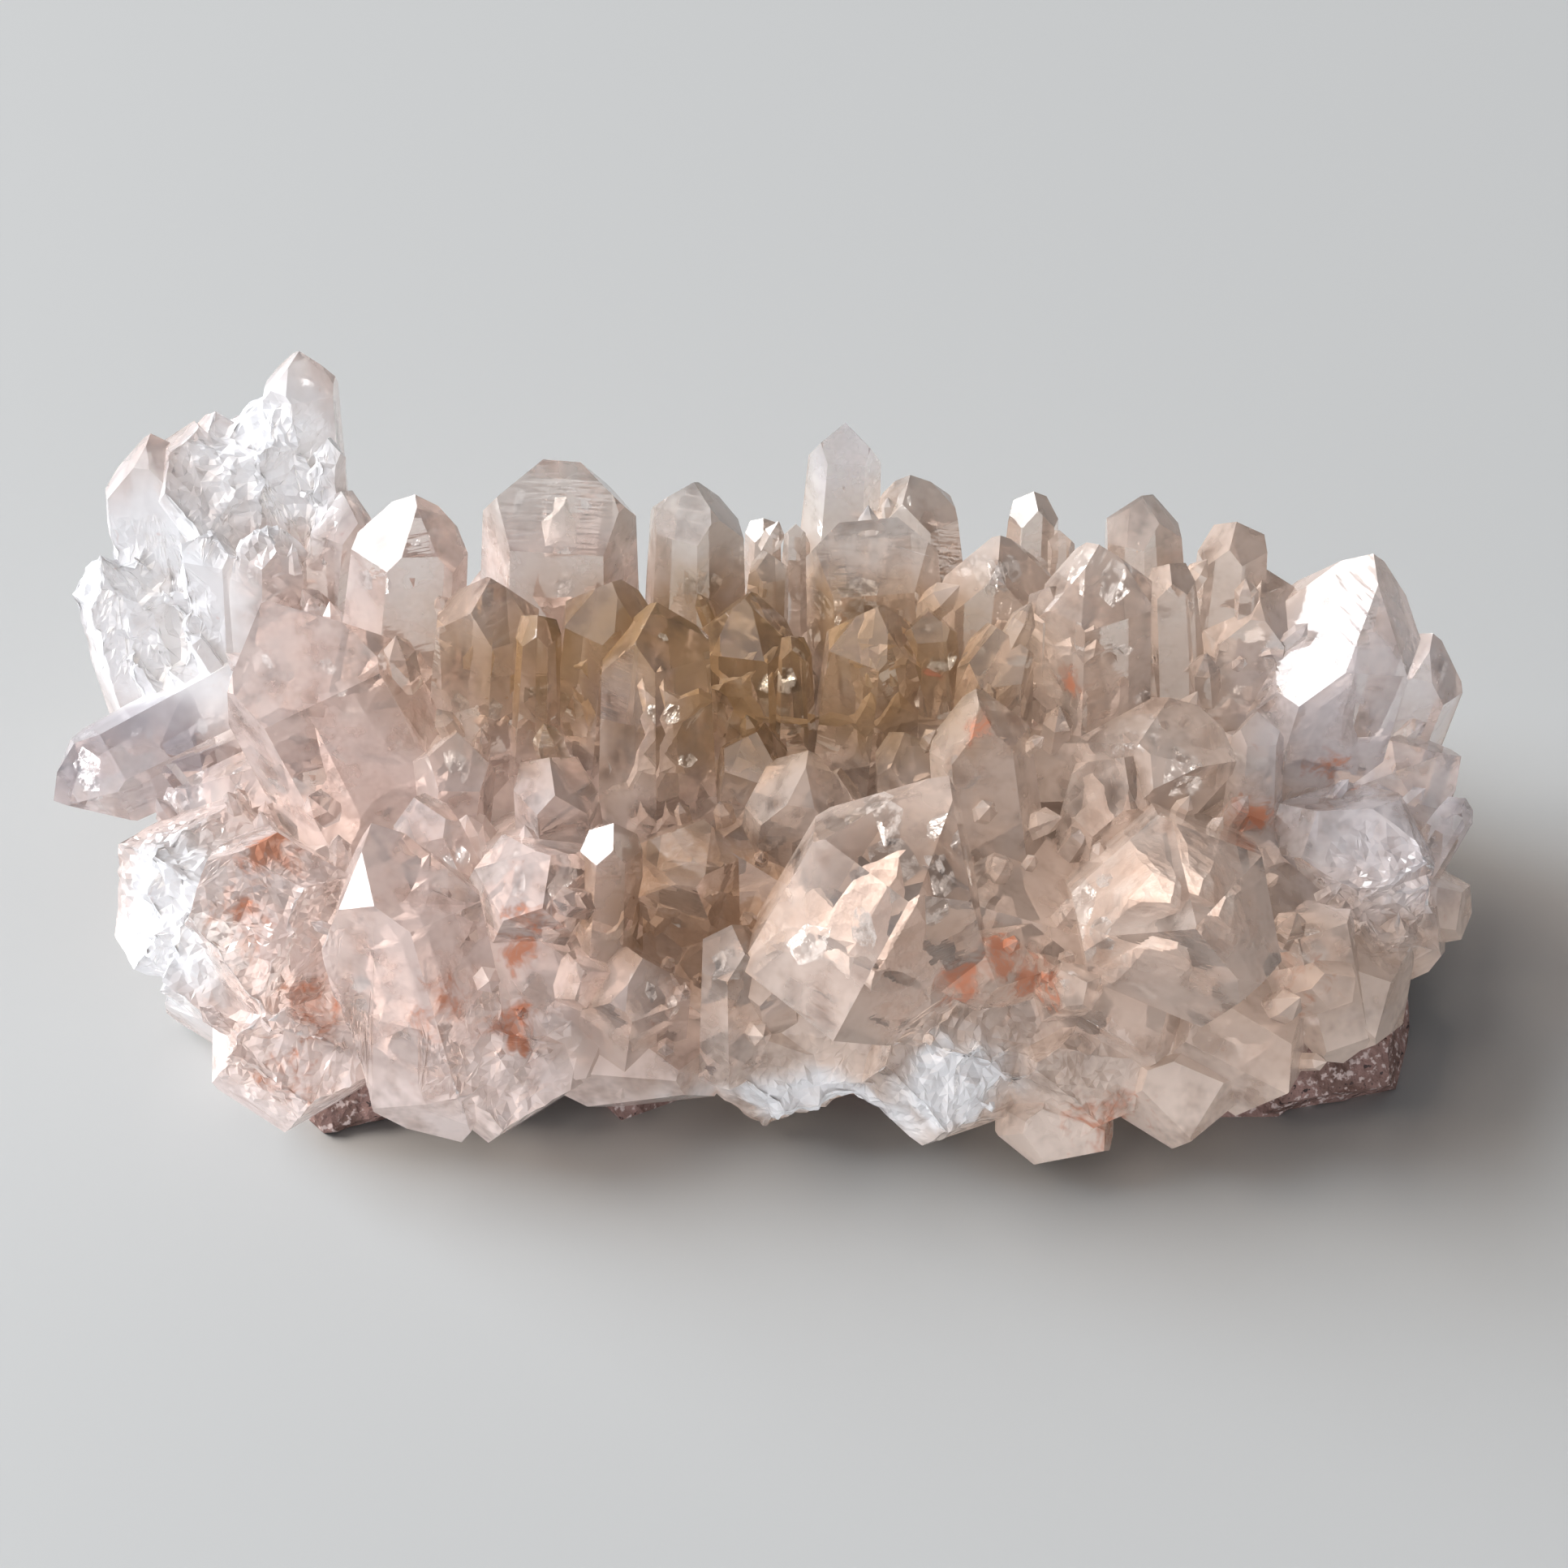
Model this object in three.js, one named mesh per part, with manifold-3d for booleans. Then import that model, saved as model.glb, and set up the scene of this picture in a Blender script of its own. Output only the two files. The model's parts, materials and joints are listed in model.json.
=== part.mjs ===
// A loose hand specimen of rough strawberry quartz: quartz crystals that have grown together
// on one milky root, and the granular host rock under them. The cluster is one solid, and the
// host rock is a second one that fills the hollow under it.
// Millimetres, +X along the specimen, +Y to its back, +Z up.

import * as THREE from "three";
import { ConvexGeometry } from "three/addons/geometries/ConvexGeometry.js";
import { mergeVertices } from "three/addons/utils/BufferGeometryUtils.js";
import Module from "manifold-3d";

const wasm = await Module();
wasm.setup();

// Quartz habit: six prism faces that close slowly towards the tip, then six sloping tip faces,
// of which every other one is set back. Angles in degrees.
const TIP_FACE_SLOPE = 51.8;
const PRISM_TAPER = 2.5;
const BEARING_SPREAD = 3;
const FACE_UNEVENNESS = 0.1;
const MINOR_FACE_SETBACK = 0.07;
const SIX_SIDED_TIP_WIDTH = 7;

// Rough chunks: how many fractured faces, and how unevenly they lie.
const CHUNK_FACES = 14;
const ROOT_STONE_FACES = 12;
const ROCK_STONE_FACES = 14;
const LEDGE_FACES = 16;
const STONE_SHRINK = 0.82;
const STONE_TWIST = 0.35;

// The milky root that the crystals share: highest in the middle and low at the rim.
const ROOT_HEIGHT = 15;
const ROOT_HALF_LENGTH = 56;
const ROOT_HALF_DEPTH = 22;
const ROOT_UNDERSIDE = 1;
const ROOT_STONE_SIZE = 31;
const ROOT_ROWS = [-11, 11];
const ROOT_COLUMNS = { from: -40, to: 44, step: 21 };

// The host rock, sawn flat where it stands, and the hairline gap between it and the root.
const ROCK_HEIGHT = 7.5;
const ROCK_ROWS = [-7, 9];
const ROCK_COLUMNS = { from: -34, to: 40, step: 24 };
const ROCK_STONE_LENGTH = 39;
const ROCK_STONE_DEPTH = 30;
const ROCK_STONE_HEIGHT = 22;
const SEAT_GAP = 0.3;

// Small crystals that fill the spaces between the named ones.
const FILLER_WIDTH = 5;
const FILLER_LENGTH = 13;
const FILLER_BURIED = 4;
const FILLER_ROWS = [
  { y: -18, from: -38, to: 44, step: 20 },
  { y: -8, from: -23, to: 52, step: 25 },
  { y: 9, from: -46, to: 48, step: 47 },
  { y: 16, from: -34, to: 52, step: 20 },
  { y: 21, from: -40, to: 46, step: 17 },
];

// Every named crystal: where its root and its tip lie, its width, its depth as a share of the
// width, and the bearing of a large tip face. Some have a ridge for a tip, stand to one side
// of it, or carry one extra face.
const LEFT_BACK = [
  { foot: [-58, 16, 10], tip: [-57, 25.5, 38], width: 9.5, flat: 0.7, bearing: 200 },
  { foot: [-59, 15, 8], tip: [-62, 18, 30], width: 9, flat: 0.6, bearing: 215 },
  { foot: [-49, 22, 14], tip: [-45.5, 26.5, 42], width: 10, flat: 0.8, bearing: 230 },
  { foot: [-52, 22, 14], tip: [-51, 27, 39.5], width: 8, flat: 0.8, bearing: 190 },
  { foot: [-45, 24, 18], tip: [-42.5, 28, 45.5], width: 7.5, flat: 0.9, bearing: 300 },
  { foot: [-43.5, 20, 16], tip: [-40, 22.5, 40], width: 4, flat: 0.9, bearing: 270 },
  { foot: [-43, 18, 16], tip: [-39, 20, 36], width: 6.5, flat: 0.9, bearing: 250 },
  { foot: [-53, 15, 16], tip: [-51, 18, 33.5], width: 6, flat: 0.8, bearing: 260 },
  { foot: [-48, 15, 17], tip: [-45.5, 17, 35], width: 7, flat: 0.8, bearing: 240 },
];
const LEFT_END = [
  { foot: [-46, 15, 16], tip: [-66.5, 1.5, 14], width: 10, flat: 1, bearing: 240 },
  { foot: [-42, 4, 15], tip: [-57.5, 1.5, 11.5], width: 7.5, flat: 0.9, bearing: 230 },
];
const LEFT_RIDGE = [
  { foot: [-35, 0, 13], tip: [-43.5, 6, 33.5], width: 18, flat: 0.6, bearing: 285, ridge: 4 },
  { foot: [-35, 7, 16], tip: [-31, 13.5, 41], width: 10, flat: 0.85, bearing: 225 },
  { foot: [-27, 5.5, 15], tip: [-24, 6, 38], width: 9.5, flat: 0.7, bearing: 300 },
  { foot: [-22, 3.5, 16], tip: [-20, 4, 35.5], width: 4.5, flat: 0.9, bearing: 210 },
  { foot: [-20, 15, 16], tip: [-18.5, 17.5, 40.5], width: 14.5, flat: 0.65, bearing: 270, ridge: 5 },
  { foot: [-16, 6, 16], tip: [-13.5, 5.5, 38], width: 8.5, flat: 0.8, bearing: 240 },
  { foot: [-10, -3, 14], tip: [-9.5, 3, 38], width: 10, flat: 0.8, bearing: 300 },
  { foot: [-7.5, 12, 17], tip: [-6.5, 14, 42], width: 8.5, flat: 0.8, bearing: 250 },
  { foot: [-1, 11, 17], tip: [0, 12, 35.5], width: 4, flat: 0.9, bearing: 290 },
  { foot: [-1, 18, 16], tip: [-0.5, 20, 32.5], width: 3.5, flat: 0.9, bearing: 210 },
  { foot: [2, 16, 16], tip: [2.5, 17.5, 34], width: 2.5, flat: 0.9, bearing: 270 },
];
const RIGHT_RIDGE = [
  { foot: [6, 19, 16], tip: [7, 24, 40.5], width: 6.8, flat: 0.85, bearing: 270 },
  { foot: [15, 18, 16], tip: [13, 22, 36], width: 8, flat: 0.75, bearing: 310 },
  { foot: [10.5, 10, 17], tip: [9, 13, 38], width: 12, flat: 0.65, bearing: 270, ridge: 6 },
  { foot: [21.5, 9, 17], tip: [20.5, 11.5, 38], width: 11, flat: 0.7, bearing: 200 },
  { foot: [24.5, 18, 16], tip: [24.5, 22, 34], width: 5, flat: 0.8, bearing: 220 },
  { foot: [27.5, 18, 16], tip: [27, 20, 31], width: 3, flat: 0.9, bearing: 270 },
  { foot: [8.5, 4, 15], tip: [9.5, 4.5, 36], width: 9, flat: 0.8, bearing: 240 },
  { foot: [15.5, 4, 15], tip: [14, 5, 35], width: 4.8, flat: 0.9, bearing: 270 },
  { foot: [2, 3, 16], tip: [2, 4, 33], width: 3.6, flat: 0.9, bearing: 215 },
  { foot: [-2, 6, 16], tip: [-2, 5.5, 36], width: 9.5, flat: 0.7, bearing: 260 },
  { foot: [20.5, 3, 16], tip: [20, 4, 34], width: 7, flat: 0.9, bearing: 280 },
  { foot: [30, 5, 16], tip: [28.5, 7, 41], width: 11, flat: 0.75, bearing: 290 },
  { foot: [26, 5, 16], tip: [24.5, 6, 37], width: 4.5, flat: 0.9, bearing: 230 },
  { foot: [36, 12, 16], tip: [33, 14.5, 40], width: 6.8, flat: 0.9, bearing: 240 },
  { foot: [43, 12, 15], tip: [42, 15, 36.5], width: 6.5, flat: 0.8, bearing: 310 },
  { foot: [39, 11, 15], tip: [35.5, 10, 36], width: 4.5, flat: 0.9, bearing: 210 },
];
const RIGHT_END = [
  {
    foot: [51.5, 8.5, 11], tip: [54.5, 13.5, 34], width: 16, flat: 0.85, bearing: 217,
    shift: [-1.5, -1.5], extra: { bearing: 195, slope: 75, setback: 5 },
  },
  { foot: [44, 8, 11], tip: [45, 14.5, 31.5], width: 10.5, flat: 0.8, bearing: 200 },
  { foot: [58, 9, 9], tip: [61.5, 12.5, 25], width: 9, flat: 0.8, bearing: 320 },
  { foot: [54, 4, 11], tip: [63.5, 2.5, 19], width: 9.5, flat: 0.8, bearing: 240 },
  { foot: [51, -3, 13], tip: [57.5, -12, 21], width: 12.5, flat: 0.7, bearing: 280 },
  { foot: [59, -6, 12], tip: [62.5, -3.5, 20], width: 3.4, flat: 0.9, bearing: 200 },
];
const MIDDLE = [
  { foot: [20.5, -8, 14], tip: [18, -1.5, 32], width: 8.5, flat: 0.8, bearing: 215 },
  { foot: [27, 3.5, 17], tip: [41, -4.5, 26], width: 11, flat: 0.9, bearing: 250 },
  { foot: [44, -3, 14], tip: [43.5, 1, 26.5], width: 4.5, flat: 0.9, bearing: 270 },
  { foot: [2, -11, 15], tip: [3.5, -6.5, 29.5], width: 9, flat: 0.8, bearing: 205 },
  { foot: [-14, -18, 15], tip: [-13, -13, 27.5], width: 5, flat: 0.9, bearing: 212 },
  { foot: [-27, -13, 17], tip: [-30, -11, 28.5], width: 6, flat: 0.9, bearing: 270 },
  { foot: [-22, -14, 15], tip: [-18, -17, 28], width: 10, flat: 0.8, bearing: 330 },
  { foot: [-7, -9, 15], tip: [-6, -18, 25], width: 10, flat: 0.9, bearing: 230 },
  { foot: [-2, 0, 13], tip: [-1, -1, 26], width: 6, flat: 0.9, bearing: 250 },
  { foot: [13, -4, 13], tip: [12, -2, 27], width: 6, flat: 0.9, bearing: 300 },
  { foot: [31, -4, 13], tip: [31, -5, 27], width: 9, flat: 0.9, bearing: 220 },
  { foot: [-30, -2, 14], tip: [-27.5, -1, 26], width: 7, flat: 0.9, bearing: 280 },
  { foot: [-19, -5, 14], tip: [-19, -5, 27], width: 7, flat: 0.9, bearing: 220 },
];
const FRONT = [
  { foot: [5.5, -21.5, 15.5], tip: [15, -13.5, 34], width: 17.5, flat: 0.7, bearing: 238 },
  { foot: [-3, -24, 8], tip: [-3, -20, 22.5], width: 6, flat: 0.9, bearing: 240 },
  { foot: [37, -7, 10], tip: [34, -26.5, 29.5], width: 16.5, flat: 0.95, bearing: 250, ridge: 2 },
  { foot: [23, -16.5, 15], tip: [13.5, -24, 19.5], width: 8, flat: 0.8, bearing: 270 },
  { foot: [-12.5, -22, 6], tip: [-10.5, -22, 20.5], width: 10, flat: 0.6, bearing: 300 },
  { foot: [47, -16, 18], tip: [51, -22.5, 6], width: 6, flat: 0.8, bearing: 200 },
  { foot: [54, -12, 12], tip: [62, -10, 8], width: 8, flat: 0.8, bearing: 230 },
  { foot: [58, -8, 11], tip: [65, -7, 8], width: 6.5, flat: 0.8, bearing: 250 },
  { foot: [32, -22, 9], tip: [39, -26.5, 4], width: 7, flat: 0.9, bearing: 270 },
];

// One large crystal lies over the front edge and is closed by tip faces at both its ends.
const OVERHANGING = {
  foot: [-33.5, -13, 27.5], tip: [-27, -28.5, 2.5], width: 13.5, flat: 0.8, bearing: 110,
  doublyEnded: true,
};

// Rough milky chunks without crystal faces: centre and full size.
const CHUNKS = [
  { at: [-50.5, -8, 12], size: [14, 18, 17], seed: 11 },
  { at: [-43, -16, 16], size: [15, 14, 21], seed: 12 },
  { at: [-41, -22, 8], size: [17, 12, 13], seed: 13 },
  { at: [-23, -22, 8], size: [18, 12, 12], seed: 14 },
  { at: [-12, -22, 7], size: [16, 10, 10], seed: 15 },
  { at: [2, -22, 6], size: [16, 10, 8], seed: 16 },
  { at: [15, -24, 8], size: [16, 12, 12], seed: 17 },
  { at: [27, -24, 7], size: [13, 11, 10], seed: 18 },
  { at: [25, -27, 4], size: [11, 8, 6], seed: 24 },
  { at: [36, -25, 6], size: [11, 9, 9], seed: 25 },
  { at: [31, -19, 11], size: [15, 12, 12], seed: 26 },
  { at: [41, -21, 9], size: [13, 13, 13], seed: 19 },
  { at: [51, -15, 9], size: [12, 14, 13], seed: 20 },
  { at: [57, -2, 11], size: [12, 16, 13], seed: 21 },
  { at: [-54, 14, 12], size: [13, 15, 16], seed: 22 },
  { at: [-52, 24, 28], size: [12, 10, 22], seed: 23 },
];

// Ledges of host rock that stick out past the crystals.
const ROCK_LEDGES = [
  { at: [49, -15, 2], size: [22, 19, 11], seed: 431 },
  { at: [-37, -16, 1], size: [22, 18, 9], seed: 432 },
  { at: [4, 19, 2], size: [30, 14, 10], seed: 433 },
];

const radians = THREE.MathUtils.degToRad;

// Small deterministic random numbers, so that every build gives the same specimen.
function seeded(seed) {
  let state = (seed * 2654435761) >>> 0;
  return () => {
    state = (state + 0x6d2b79f5) >>> 0;
    let mixed = Math.imul(state ^ (state >>> 15), state | 1);
    mixed ^= mixed + Math.imul(mixed ^ (mixed >>> 7), mixed | 61);
    return ((mixed ^ (mixed >>> 14)) >>> 0) / 4294967296;
  };
}

function between(random, low, high) {
  return low + (high - low) * random();
}

// A closed geometry as a solid that can be joined and cut.
function solidOf(geometry) {
  geometry.deleteAttribute("normal");
  geometry.deleteAttribute("uv");
  const merged = mergeVertices(geometry, 1e-3);
  const triVerts = new Uint32Array(merged.index.array);
  const vertProperties = new Float32Array(merged.attributes.position.array);
  return new wasm.Manifold(new wasm.Mesh({ numProp: 3, vertProperties, triVerts }));
}

// The corner where three planes meet, or null where two of them are parallel.
function cornerOf(a, b, c) {
  const bc = new THREE.Vector3().crossVectors(b.normal, c.normal);
  const volume = a.normal.dot(bc);
  if (Math.abs(volume) < 1e-6) {
    return null;
  }
  const ca = new THREE.Vector3().crossVectors(c.normal, a.normal);
  const ab = new THREE.Vector3().crossVectors(a.normal, b.normal);
  const corner = bc.multiplyScalar(-a.constant);
  corner.addScaledVector(ca, -b.constant).addScaledVector(ab, -c.constant);
  return corner.divideScalar(volume);
}

// The convex solid behind a set of flat faces.
function solidBehind(faces) {
  const corners = [];
  for (let i = 0; i < faces.length; i += 1) {
    for (let j = i + 1; j < faces.length; j += 1) {
      for (let k = j + 1; k < faces.length; k += 1) {
        const corner = cornerOf(faces[i], faces[j], faces[k]);
        const kept = corner && faces.every((face) => face.distanceToPoint(corner) < 1e-4);
        if (kept && !corners.some((other) => other.distanceTo(corner) < 1e-2)) {
          corners.push(corner);
        }
      }
    }
  }
  return solidOf(new ConvexGeometry(corners));
}

// A face that looks along a normal and lies at a distance beyond a point.
function faceBeyond(point, normal, distance) {
  const face = new THREE.Plane().setFromNormalAndCoplanarPoint(normal, point);
  face.constant -= distance;
  return face;
}

// The three directions of a crystal: along it, to its right, and to its back.
function crystalFrame(foot, tip) {
  const along = tip.clone().sub(foot).normalize();
  const steep = Math.abs(along.x) < 0.8;
  const right = steep ? new THREE.Vector3(1, 0, 0) : new THREE.Vector3(0, 1, 0);
  right.addScaledVector(along, -right.dot(along)).normalize();
  return { along, right, back: new THREE.Vector3().crossVectors(along, right) };
}

// A direction at a bearing about the crystal and at a slope from its axis, both in degrees.
function direction({ along, right, back }, bearing, slope) {
  const level = Math.sin(radians(slope));
  return along.clone().multiplyScalar(Math.cos(radians(slope)))
    .addScaledVector(right, level * Math.cos(radians(bearing)))
    .addScaledVector(back, level * Math.sin(radians(bearing)));
}

// One quartz crystal.
function crystal(spec) {
  const random = seeded(Math.round(spec.tip[0] * 97 + spec.tip[1] * 31 + spec.tip[2] * 7) + 5000);
  const foot = new THREE.Vector3(...spec.foot);
  const tip = new THREE.Vector3(...spec.tip);
  const frame = crystalFrame(foot, tip);
  const [shiftRight, shiftBack] = spec.shift ?? [0, 0];
  const middle = foot.clone().lerp(tip, 0.5);
  middle.addScaledVector(frame.right, shiftRight).addScaledVector(frame.back, shiftBack);
  const setback = spec.width * MINOR_FACE_SETBACK;
  const faces = [faceBeyond(foot, frame.along.clone().negate(), 0)];
  for (let side = 0; side < 6; side += 1) {
    const bearing = spec.bearing + 60 * side + between(random, -BEARING_SPREAD, BEARING_SPREAD);
    const rightness = Math.cos(radians(bearing));
    const depth = Math.hypot(rightness, spec.flat * Math.sin(radians(bearing)));
    const uneven = 1 + between(random, -FACE_UNEVENNESS, FACE_UNEVENNESS);
    const prismFace = direction(frame, bearing, 90 - PRISM_TAPER);
    faces.push(faceBeyond(middle, prismFace, (spec.width / 2) * depth * uneven));
    const major = side % 2 === 0;
    if (major || spec.width > SIX_SIDED_TIP_WIDTH) {
      const reach = major ? 0 : setback * between(random, 0.4, 2);
      const ridgeSide = Math.round(rightness * 1.2) * (spec.ridge ?? 0) / 2;
      const peak = tip.clone().addScaledVector(frame.right, ridgeSide);
      faces.push(faceBeyond(peak, direction(frame, bearing, TIP_FACE_SLOPE), reach));
    }
    if (spec.doublyEnded) {
      faces.push(faceBeyond(foot, direction(frame, bearing, 180 - TIP_FACE_SLOPE), major ? setback : 0));
    }
  }
  if (spec.extra) {
    const extraFace = direction(frame, spec.extra.bearing, spec.extra.slope);
    faces.push(faceBeyond(tip, extraFace, spec.extra.setback));
  }
  return solidBehind(faces);
}

// A rough stone with fractured faces spread evenly round it; spare is added all round.
function stone(spec, faceCount, spare = 0) {
  const random = seeded(spec.seed * 613 + 17);
  const at = new THREE.Vector3(...spec.at);
  const faces = [];
  for (let face = 0; face < faceCount; face += 1) {
    const height = 1 - (2 * face + 1) / faceCount;
    const turn = face * Math.PI * (3 - Math.sqrt(5)) + between(random, -STONE_TWIST, STONE_TWIST);
    const level = Math.sqrt(1 - height * height);
    const normal = new THREE.Vector3(level * Math.cos(turn), level * Math.sin(turn), height);
    const reach = normal.clone().multiply(new THREE.Vector3(...spec.size)).length() / 2;
    faces.push(faceBeyond(at, normal, reach * between(random, STONE_SHRINK, 1) + spare));
  }
  return solidBehind(faces);
}

// How high the root stands at a place.
function rootTop(x, y) {
  const along = Math.abs(x) / ROOT_HALF_LENGTH;
  const across = Math.abs(y) / ROOT_HALF_DEPTH;
  return ROOT_HEIGHT * (1.1 - 0.45 * along ** 3) * (1.05 - 0.5 * across ** 3);
}

// The root mass: rows of rough stones that run into each other, smaller towards the ends.
function rootStones() {
  const stones = [];
  const random = seeded(77);
  for (const y of ROOT_ROWS) {
    for (let x = ROOT_COLUMNS.from; x <= ROOT_COLUMNS.to; x += ROOT_COLUMNS.step) {
      const top = rootTop(x, y);
      const size = ROOT_STONE_SIZE - Math.abs(x) / 8;
      const spec = {
        at: [x + between(random, -1, 1), y + between(random, -1, 1), top / 2 + ROOT_UNDERSIDE],
        size: [size, size - 2, top * 1.3],
        seed: stones.length + 200,
      };
      stones.push(stone(spec, ROOT_STONE_FACES));
    }
  }
  return stones;
}

// Small crystals over the root, leaning outwards towards the rim.
function fillerCrystals() {
  const crystals = [];
  const random = seeded(41);
  for (const row of FILLER_ROWS) {
    for (let x = row.from; x <= row.to; x += row.step) {
      const root = [x + between(random, -3, 3), row.y + between(random, -2, 2)];
      const lean = new THREE.Vector3(root[0] / 75, root[1] / 38, 1);
      lean.x += between(random, -0.3, 0.3);
      lean.y += between(random, -0.3, 0.3);
      lean.setLength(FILLER_LENGTH * between(random, 0.75, 1.25));
      const foot = [root[0], root[1], rootTop(...root) - FILLER_BURIED];
      crystals.push(crystal({
        foot,
        tip: foot.map((value, index) => value + lean.getComponent(index)),
        width: FILLER_WIDTH * between(random, 0.7, 1.3),
        flat: between(random, 0.7, 1),
        bearing: between(random, 0, 120),
      }));
    }
  }
  return crystals;
}

// A wide block that ends at a level.
function blockBelow(level) {
  const side = 400;
  const block = new THREE.BoxGeometry(side, side, side);
  block.translate(0, 0, level - side / 2);
  return solidOf(block);
}

function join(solids) {
  return solids.reduce((whole, next) => whole.add(next));
}

// The host rock: a layer of rough stones under the root with a few ledges. Spare makes it
// larger all round, to cut the hollow that it sits in.
function hostRock(spare) {
  const random = seeded(19);
  const stones = [];
  for (const y of ROCK_ROWS) {
    for (let x = ROCK_COLUMNS.from; x <= ROCK_COLUMNS.to; x += ROCK_COLUMNS.step) {
      const at = [x + between(random, -2, 2), y + between(random, -2, 2), 0];
      const length = ROCK_STONE_LENGTH + between(random, -2, 2);
      const depth = ROCK_STONE_DEPTH + between(random, -2, 3);
      const size = [length, depth, ROCK_STONE_HEIGHT + between(random, -2, 2)];
      stones.push(stone({ at, size, seed: stones.length + 400 }, ROCK_STONE_FACES, spare));
    }
  }
  const ledges = ROCK_LEDGES.map((ledge) => stone(ledge, LEDGE_FACES, spare));
  return join([...stones, ...ledges]).intersect(blockBelow(ROCK_HEIGHT + spare));
}

function meshOf(name, solid, look) {
  const { vertProperties, triVerts } = solid.getMesh();
  const geometry = new THREE.BufferGeometry();
  geometry.setAttribute("position", new THREE.BufferAttribute(vertProperties, 3));
  geometry.setIndex(new THREE.BufferAttribute(triVerts, 1));
  geometry.computeVertexNormals();
  const mesh = new THREE.Mesh(geometry, new THREE.MeshStandardMaterial(look));
  mesh.name = name;
  return mesh;
}

const namedCrystals = [
  ...LEFT_BACK, ...LEFT_END, ...LEFT_RIDGE, ...RIGHT_RIDGE, ...RIGHT_END, ...MIDDLE, ...FRONT,
  OVERHANGING,
].map(crystal);
const chunks = CHUNKS.map((spec) => stone(spec, CHUNK_FACES));
const cluster = join([...rootStones(), ...chunks, ...namedCrystals, ...fillerCrystals()])
  .subtract(hostRock(SEAT_GAP))
  .subtract(blockBelow(ROOT_UNDERSIDE));
const rock = hostRock(0).subtract(blockBelow(0));

const specimen = new THREE.Group();
specimen.add(meshOf("crystals", cluster, { color: 0xdcc4b8, roughness: 0.08, metalness: 0 }));
specimen.add(meshOf("matrix", rock, { color: 0x7a645c, roughness: 0.9, metalness: 0 }));

// The origin is under the middle of the specimen's box, on the plane it stands on.
const middle = new THREE.Box3().setFromObject(specimen).getCenter(new THREE.Vector3());
for (const mesh of specimen.children) {
  mesh.geometry.translate(-middle.x, -middle.y, 0);
}

export default specimen;
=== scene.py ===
"""A hand specimen of rough strawberry quartz: clear to milky pink crystals on a slab of host rock."""

import json
import math
import random

import bmesh
import bpy
from bpy.props import FloatProperty, FloatVectorProperty, IntProperty, PointerProperty
from mathutils import Matrix, Vector, noise
from mathutils.bvhtree import BVHTree

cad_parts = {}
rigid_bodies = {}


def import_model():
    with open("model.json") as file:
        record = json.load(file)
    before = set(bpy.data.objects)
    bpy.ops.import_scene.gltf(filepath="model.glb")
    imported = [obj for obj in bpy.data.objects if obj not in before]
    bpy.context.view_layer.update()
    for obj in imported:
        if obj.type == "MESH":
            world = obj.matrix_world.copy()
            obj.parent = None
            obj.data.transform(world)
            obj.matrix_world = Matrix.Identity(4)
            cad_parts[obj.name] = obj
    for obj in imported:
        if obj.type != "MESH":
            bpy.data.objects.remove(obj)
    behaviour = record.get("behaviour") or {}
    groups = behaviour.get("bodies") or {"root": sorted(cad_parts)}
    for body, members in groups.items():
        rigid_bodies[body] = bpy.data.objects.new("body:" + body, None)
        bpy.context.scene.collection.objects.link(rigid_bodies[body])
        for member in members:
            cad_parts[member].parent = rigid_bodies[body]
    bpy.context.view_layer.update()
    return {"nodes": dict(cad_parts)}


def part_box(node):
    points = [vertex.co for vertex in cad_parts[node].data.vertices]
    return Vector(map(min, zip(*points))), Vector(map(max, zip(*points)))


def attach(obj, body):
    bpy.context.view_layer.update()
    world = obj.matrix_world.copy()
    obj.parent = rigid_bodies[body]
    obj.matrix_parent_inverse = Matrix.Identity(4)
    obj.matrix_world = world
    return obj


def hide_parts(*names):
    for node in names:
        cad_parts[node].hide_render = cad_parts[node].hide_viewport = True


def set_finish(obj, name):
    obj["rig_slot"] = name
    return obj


bl_info = {
    "name": "Strawberry Quartz Cluster",
    "version": (1, 0, 0),
    "blender": (4, 5, 0),
    "location": "3D View > Sidebar > Quartz",
    "description": "Makes a cluster of clear and milky pink quartz crystals on its host rock",
    "category": "Add Mesh",
}

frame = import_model()
MM = 0.001

# Iron stains in the milky quartz, in millimetres: centre, reach, and how strong the stain is.
RED_STAINS = (
    ((-41.5, -14.0, 26.0), 4.6, 1.0),
    ((-43.5, -17.5, 21.0), 5.5, 0.8),
    ((-38.0, -23.0, 15.5), 5.0, 0.8),
    ((-41.0, -27.0, 10.0), 6.5, 0.55),
    ((-27.0, -24.5, 18.0), 4.5, 0.8),
    ((-21.5, -24.0, 13.5), 4.5, 0.9),
    ((-19.0, -19.5, 22.5), 4.5, 0.8),
    ((-20.5, -19.0, 18.0), 4.0, 0.9),
    ((20.0, -21.0, 20.5), 5.2, 1.0),
    ((17.0, -23.0, 19.5), 4.0, 1.0),
    ((23.5, -22.0, 17.0), 5.0, 0.9),
    ((19.5, -4.8, 30.5), 3.2, 0.9),
    ((27.3, 1.8, 30.7), 3.0, 0.9),
    ((44.0, -4.0, 18.5), 4.5, 0.9),
    ((52.0, 1.5, 18.5), 4.2, 0.7),
    ((47.0, -20.0, 15.0), 5.0, 0.5),
    ((15.2, 3.4, 29.4), 1.9, 0.9),
    ((30.0, -28.0, 6.0), 7.0, 0.6),
)

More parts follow.
